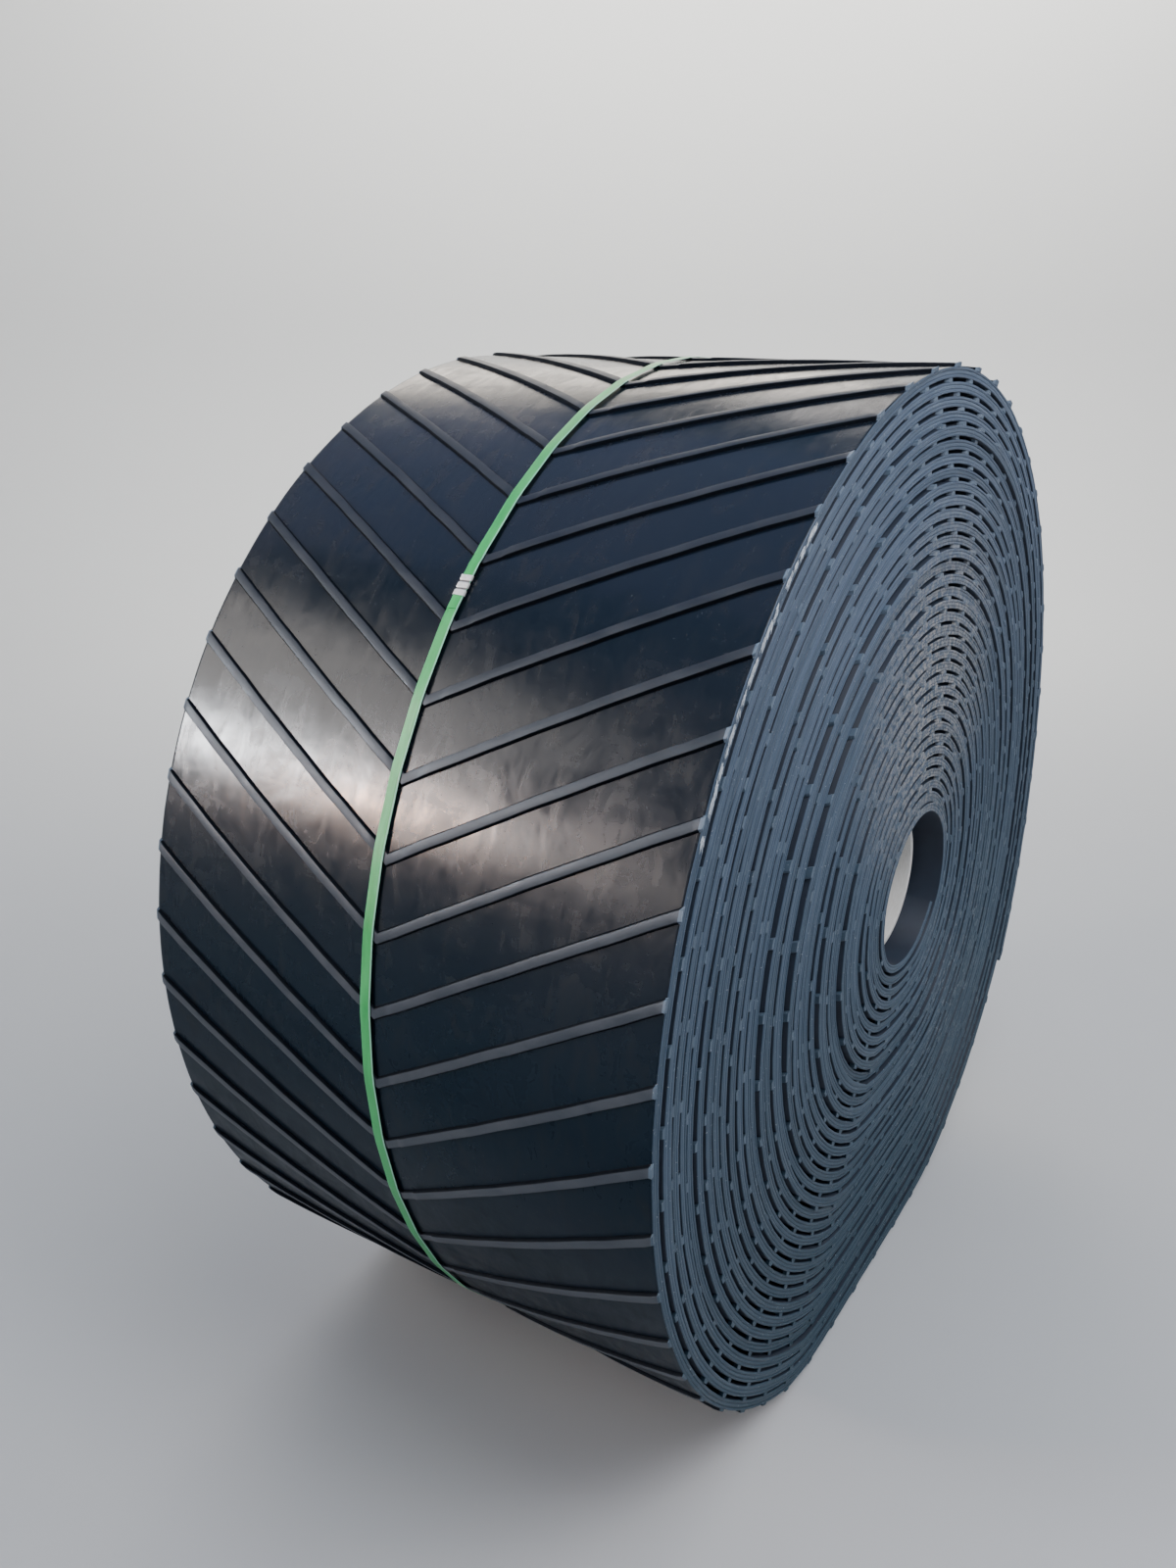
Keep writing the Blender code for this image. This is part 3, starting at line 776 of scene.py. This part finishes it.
# --- frayed threads -------------------------------------------------------------------
def fibre(draw, turned):
    """One frayed ply thread lying along the cut edge, as a thin four-sided strand."""
    steps = 6
    length = draw.uniform(0.005, 0.016) / (2.0 * math.pi * ROLL_RADIUS)      # in turns
    run = turned + np.linspace(0.0, length, steps)
    depth = draw.uniform(CARCASS_DEPTH - 0.0012, BOTTOM_DEPTH - 0.001)
    depth = depth + np.cumsum(draw.uniform(-0.0006, 0.0006, steps))
    lift = np.linspace(0.0, 1.0, steps) ** 2 * draw.uniform(-0.0004, 0.0022)
    right = HALF_WIDTH + 0.0004 + edge_wander(run, 1.0) + lift
    taper = np.array([1.0, 1.0, 1.0, 1.0, 0.7, 0.15])
    thick = draw.uniform(0.00016, 0.00034) * taper
    ring = np.array([(1.0, 0.0), (0.0, 1.0), (-1.0, 0.0), (0.0, -1.0)])
    x = right[:, None] + thick[:, None] * ring[None, :, 0]
    down = depth[:, None] + thick[:, None] * ring[None, :, 1]
    strand = ribbon_sheet(run, x, down, np.zeros(len(ring), dtype=int), 0)
    strand["turn_over"] = True
    return strand


def build_fibres():
    """Pale threads frayed out of the plies along part of the outer turn's right edge."""
    most = 700
    lowest, highest = 27.0, 56.0               # angles of the frayed stretch
    draw = np.random.default_rng(77)
    start = (TAIL_ANGLE - highest) / 360.0
    end = (TAIL_ANGLE - lowest) / 360.0
    places = start + (end - start) * draw.random(most)
    places = places[waves(places * 400.0, 78, (3.1, 1.7, 5.3)) > -0.15]
    fibres = grid_mesh("edge_fibres", [fibre(draw, place_at) for place_at in places],
                       finishes=(fibre_white(),))
    place(fibres, "fabric_plies")


# --- the core tube --------------------------------------------------------------------
def build_core():
    """Oval tube with chamfered rims and a spiral seam pressed into its inner wall."""
    half = (CORE_BOX[1][0] - CORE_BOX[0][0]) / 2.0
    outside, inside = CORE_CLEAR, CORE_CLEAR + CORE_WALL      # below the hole's wall
    chamfer = 0.0012
    lengths = np.linspace(-half, half, 61)
    clear_of_rims = np.clip(lengths, chamfer - half, half - chamfer)
    profile = [(-half, outside + chamfer)]
    profile += [(x, outside) for x in clear_of_rims]
    profile += [(half, outside + chamfer), (half, inside - chamfer)]
    profile += [(x, inside) for x in clear_of_rims[::-1]]
    profile += [(-half, inside - chamfer)]
    x, inset = np.array(profile).T
    turn = np.linspace(0.0, 2.0 * np.pi, 72, endpoint=False)
    way = np.stack([-np.cos(turn), np.sin(turn)], axis=-1)
    seam_pitch, seam_width, seam_depth = 0.11, 0.03, 0.0007
    phase = (x[None, :] / seam_pitch + turn[:, None] / (2.0 * np.pi)) % 1.0
    on_wall = inset > inside - 0.0001
    seam = np.exp(-((phase - 0.5) / seam_width) ** 2) * seam_depth * on_wall[None, :]
    sizes = np.array([HOLE_WIDTH, HOLE_HEIGHT]) / 2.0
    reach = sizes[None, None, :] - (inset[None, :] - seam)[..., None]
    flat = way[:, None, :] * reach + AXIS + np.array([HOLE_BACK, -HOLE_DROP])
    across = np.broadcast_to(x[None, :], flat.shape[:2])
    points = np.concatenate([across[..., None], flat], axis=-1)
    around = np.broadcast_to(turn[:, None] * sizes[0], across.shape)
    coords = np.stack([around, across, np.broadcast_to(inset, across.shape)], axis=-1)
    sheet = {"points": np.concatenate([points, points[:1]]),
             "belt": np.concatenate([coords, coords[:1]]),
             "face_slot": np.zeros(len(x), dtype=int), "cap_slot": 0}
    core = grid_mesh("core_board_tube", [sheet], caps=False, finishes=(core_board(),))
    weld(core)
    place(core, "core_board", "core_tube")


def weld(piece):
    """Joins the seam of a swept ring and turns its faces outward."""
    bm = bmesh.new()
    bm.from_mesh(piece.data)
    bmesh.ops.remove_doubles(bm, verts=bm.verts, dist=0.00001)
    bmesh.ops.recalc_face_normals(bm, faces=bm.faces)
    bm.to_mesh(piece.data)
    bm.free()


# --- the strap ------------------------------------------------------------------------
def strap_points():
    """Where the strap meets and leaves each cleat, as (Y, Z), and the seal's frame.

    The seal's frame is its middle, the way along the strap and the way out.
    """
    drop = abs(STRAP_X) * CLEAT_SLOPE
    reach = (CLEAT_TOP + STRAP_WIDTH / 2.0) / 2.0
    pitch = CLEAT_PITCH * ARC_PER_CHORD
    middles = (np.arange(1, OUTER_CLEATS + 1) - 0.5) * pitch - drop
    starts = belt_line(turned_at(middles - reach))
    ends = belt_line(turned_at(middles + reach))
    before = ends[SEAL_CLEAT - 1]
    after = starts[SEAL_CLEAT]
    along = (after - before) / np.linalg.norm(after - before)
    out = np.array([along[1], -along[0]])
    middle = (before + after) / 2.0
    return starts, ends, middle, along, out


def strap_path():
    """The strap's line from its hidden end once round the roll to its loose end."""
    step = 0.012
    starts, ends, middle, along, out = strap_points()
    lap = out * (STRAP_THICK + GAP)
    run = [middle - along * STRAP_END_UNDER]
    for i in range(SEAL_CLEAT, OUTER_CLEATS):
        run += [starts[i], ends[i]]
    tail = belt_line(0.0) - belt_normal(0.0) * (COVER_DEPTH - 2.0 * GAP - STRAP_THICK)
    run.append(tail)
    for i in range(SEAL_CLEAT):
        run += [starts[i], ends[i]]
    run.append(middle - along * (STRAP_END_UNDER + 2.0 * STRAP_THICK) + lap)
    run.append(middle + along * STRAP_END_OVER + lap)
    run = np.array(run)
    filled = [run[0]]
    for a, b in zip(run, run[1:]):
        steps = max(1, int(np.linalg.norm(b - a) / step))
        for k in range(1, steps + 1):
            filled.append(a + (b - a) * k / steps)
    return np.array(filled)


def build_strap():
    """The band swept along its path, wandering and tilting a little, with round edges."""
    path = strap_path()
    tangent = np.gradient(path, axis=0)
    tangent = tangent / np.linalg.norm(tangent, axis=1, keepdims=True)
    out = np.stack([tangent[:, 1], -tangent[:, 0]], axis=1)
    length = np.concatenate([[0.0], np.cumsum(np.linalg.norm(np.diff(path, axis=0), axis=1))])
    from_end = np.minimum(length, length[-1] - length)
    fade = np.minimum(from_end / 0.12, 1.0)
    wander = 0.0030 * waves(length, 31, (1.9, 0.83, 3.1)) * fade
    # The section, as shares of the half width and of the thickness.
    side = np.array([0.94, 1.0, 1.0, 0.94, 0.45, -0.45, -0.94, -1.0, -1.0, -0.94, -0.45, 0.45])
    down = np.array([0.0, 0.25, 0.75, 1.0, 1.0, 1.0, 1.0, 0.75, 0.25, 0.0, 0.0, 0.0])
    straight = STRAP_X + side[None, :] * STRAP_WIDTH / 2.0
    across = STRAP_X + wander[:, None] + side[None, :] * STRAP_WIDTH / 2.0
    tilt = 0.00012 * waves(length, 32, (0.31, 0.57))[:, None] * side[None, :]
    depth = down[None, :] * STRAP_THICK + np.abs(tilt)
    flat = path[:, None, :] - out[:, None, :] * depth[..., None]
    points = np.concatenate([across[..., None], flat], axis=-1)
    points[..., 2] = np.maximum(points[..., 2], 0.0)
    coords = np.stack([np.broadcast_to(length[:, None], across.shape),
                       np.broadcast_to(straight, across.shape), depth], axis=-1)
    sheet = {"points": points, "belt": coords, "face_slot": np.zeros(len(side), dtype=int),
             "cap_slot": 0, "turn_over": True}
    strap = grid_mesh("green_strap", [sheet], finishes=(strap_plastic(),))
    place(strap, "strap_plastic", "strap")


def seal_section(half, wall):
    """The seal cut across, as (place across, height), with both legs folded under."""
    top = STRAP_THICK + 2.0 * GAP
    low = -STRAP_THICK - GAP
    leg = half - 0.0056
    outer = [(leg, low - wall), (half - 0.0002, low - wall), (half + wall * 0.8, low),
             (half + wall, top * 0.4), (half + wall * 0.8, top + wall * 0.4),
             (half - 0.0004, top + wall), (half * 0.5, top + wall)]
    inner = [(half * 0.5, top), (half, top), (half, low), (leg, low)]
    ring = outer + [(-x, y) for x, y in reversed(outer)]
    return np.array(ring + [(-x, y) for x, y in reversed(inner)] + inner)


def build_seal():
    """Folded steel seal, pinched in by two crimps that cut into its sides."""
    _, _, middle, along, out = strap_points()
    half = STRAP_WIDTH / 2.0 + GAP
    ring = seal_section(half, 0.0006)
    crimp_reach, squeeze, crimp_dip = 0.0026, 0.17, 0.00045
    flare_start, flare_slope = 0.0128, 0.12
    t = np.linspace(-SEAL_LENGTH / 2.0, SEAL_LENGTH / 2.0, 61)
    pinch = np.zeros_like(t)
    for crimp in (-SEAL_CRIMP, SEAL_CRIMP):
        pinch = pinch + np.maximum(1.0 - np.abs(t - crimp) / crimp_reach, 0.0)
    flare = np.maximum(np.abs(t) - flare_start, 0.0) * flare_slope
    width = 1.0 - squeeze * pinch + flare / half
    outside = np.abs(ring[:, 0]) / half
    x = STRAP_X + ring[None, :, 0] * width[:, None]
    dip = crimp_dip * pinch[:, None] * outside[None, :] ** 2
    height = ring[None, :, 1] - dip * np.sign(ring[None, :, 1] + 0.0005)
    flat = (middle[None, None, :] + along[None, None, :] * t[:, None, None]
            + out[None, None, :] * height[..., None])
    points = np.concatenate([x[..., None], flat], axis=-1)
    coords = np.stack([np.broadcast_to(t[:, None], x.shape), x, height], axis=-1)
    sheet = {"points": points, "belt": coords,
             "face_slot": np.zeros(len(ring), dtype=int), "cap_slot": 0}
    seal = grid_mesh("crimped_seal", [sheet], finishes=(seal_steel(),))
    place(seal, "seal_steel", "strap_seal")


# --- stage, light and camera ----------------------------------------------------------
STAGE_RADIUS = 6.8
STAGE_BEND = 1.6            # radius of the curve between floor and wall
STAGE_HEIGHT = 8.4
STAGE_SIDES = 96


def pale_paint():
    """Matt pale paint for the floor and the wall."""
    made = bpy.data.materials.new("pale_floor")
    made.use_nodes = True
    shader = made.node_tree.nodes["Principled BSDF"]
    shader.inputs["Base Color"].default_value = (0.62, 0.63, 0.64, 1.0)
    shader.inputs["Roughness"].default_value = 0.9
    return made


def build_stage():
    """A round pale floor that curves up all round into a pale wall."""
    flat = STAGE_RADIUS - STAGE_BEND
    profile = [(flat, 0.0)]
    for degrees in np.linspace(7.5, 90.0, 12):
        turn = math.radians(degrees)
        profile.append((flat + STAGE_BEND * math.sin(turn),
                        STAGE_BEND - STAGE_BEND * math.cos(turn)))
    profile.append((STAGE_RADIUS, STAGE_HEIGHT))
    around = [2.0 * math.pi * k / STAGE_SIDES for k in range(STAGE_SIDES)]
    verts = [(r * math.cos(turn), r * math.sin(turn), z) for r, z in profile
             for turn in around]
    faces = [list(range(STAGE_SIDES))]
    for ring in range(len(profile) - 1):
        for k in range(STAGE_SIDES):
            low = ring * STAGE_SIDES + k
            beside = ring * STAGE_SIDES + (k + 1) % STAGE_SIDES
            faces.append([beside, low, low + STAGE_SIDES, beside + STAGE_SIDES])
    mesh = bpy.data.meshes.new("floor")
    mesh.from_pydata(verts, [], faces)
    mesh.shade_smooth()
    mesh.materials.append(pale_paint())
    floor = bpy.data.objects.new("floor", mesh)
    bpy.context.scene.collection.objects.link(floor)
    floor.location = (0.0, 0.0, CAD_BOX[0][2] - 0.0005)


def build_world():
    """A dim sky over the open top of the wall."""
    world = bpy.data.worlds.new("studio")
    bpy.context.scene.world = world
    world.use_nodes = True
    background = world.node_tree.nodes["Background"]
    background.inputs["Color"].default_value = (0.42, 0.66, 1.0, 1.0)
    background.inputs["Strength"].default_value = 0.38


# Each panel: name, place, what it faces, size, watts, colour, spread in degrees.
# The narrow spreads keep the window's light on the roll and off the floor before it.
OPEN = 180.0
LOUVRED = 40.0
PANELS = (
    ("window", (-3.7, -4.0, 2.50), (0.20, -0.90, 1.77), (2.6, 0.55), 23.0,
     (0.94, 0.96, 1.0), LOUVRED),
    ("window_side", (-2.2, -5.1, 2.40), (0.4, -0.65, 1.70), (1.2, 0.6), 0.45,
     (1.0, 0.88, 0.78), LOUVRED),
    ("window_above", (-3.9, -3.4, 3.9), (0.0, 0.0, 0.75), (2.8, 1.7), 58.0,
     (1.0, 0.93, 0.86), OPEN),
    ("warm_pane", (-3.04, -4.27, 2.31), (-0.02, -0.74, 1.45), (0.36, 0.13), 2.4,
     (1.0, 0.42, 0.14), LOUVRED),
    ("sky_panel", (-3.1, 3.95, 4.09), (0.0, 0.0, 1.2), (3.2, 1.4), 52.0,
     (1.0, 0.88, 0.74), OPEN),
    ("sky_side", (-1.57, 3.27, 4.85), (0.3, -0.25, 1.5), (0.9, 1.1), 9.0,
     (1.0, 0.93, 0.88), OPEN),
    ("dusk_panel", (-2.2, 0.2, 5.2), (0.0, -0.4, 1.3), (3.6, 3.6), 17.0,
     (0.56, 0.58, 1.0), OPEN),
    ("overhead", (1.5, -0.9, 5.2), (0.9, -0.9, 0.0), (2.4, 2.4), 70.0,
     (1.0, 1.0, 1.0), OPEN),
    ("back_wall_wash", (-1.7, 3.7, 4.9), (-3.4, 6.3, 2.2), (5.0, 0.8), 430.0,
     (1.0, 0.96, 0.88), OPEN),
    ("face_key", (2.1, -0.25, 3.0), (0.4, 0.0, 0.85), (1.4, 1.4), 44.0,
     (0.98, 0.96, 1.0), OPEN),
)


def facing(direction):
    """Rotation that points a light's or a camera's view along a direction."""
    return Vector(direction).to_track_quat("-Z", "Y").to_euler()


def build_lights():
    """Hangs every panel of the table as a rectangular area light."""
    for name, place_at, target, size, watts, colour, spread in PANELS:
        data = bpy.data.lights.new(name, "AREA")
        data.shape = "RECTANGLE"
        data.size, data.size_y = size
        data.energy = watts
        data.color = colour
        data.spread = math.radians(spread)
        panel = bpy.data.objects.new(name, data)
        bpy.context.scene.collection.objects.link(panel)
        panel.location = place_at
        panel.rotation_euler = facing(Vector(target) - Vector(place_at))


CAMERA_PLACE = (1.1836, -2.2309, 1.0991)     # from the roll's axis, in roll radii
CAMERA_AIM = (-0.50294, 0.78876, -0.35341)
CAMERA_LENS = 28.99                          # for the usual 36 mm sensor


def build_camera():
    """A camera in front and to the right, a little higher than the roll."""
    data = bpy.data.cameras.new("camera")
    data.lens = CAMERA_LENS
    data.clip_end = 100.0
    camera = bpy.data.objects.new("camera", data)
    bpy.context.scene.collection.objects.link(camera)
    axis = Vector((0.0, AXIS[0], AXIS[1]))
    camera.location = axis + ROLL_RADIUS * Vector(CAMERA_PLACE)
    camera.rotation_euler = facing(CAMERA_AIM)
    bpy.context.scene.camera = camera


build_belt()
build_outer_cleats()
build_inner_cleats()
build_fibres()
build_core()
build_strap()
build_seal()
build_stage()
build_world()
build_lights()
build_camera()
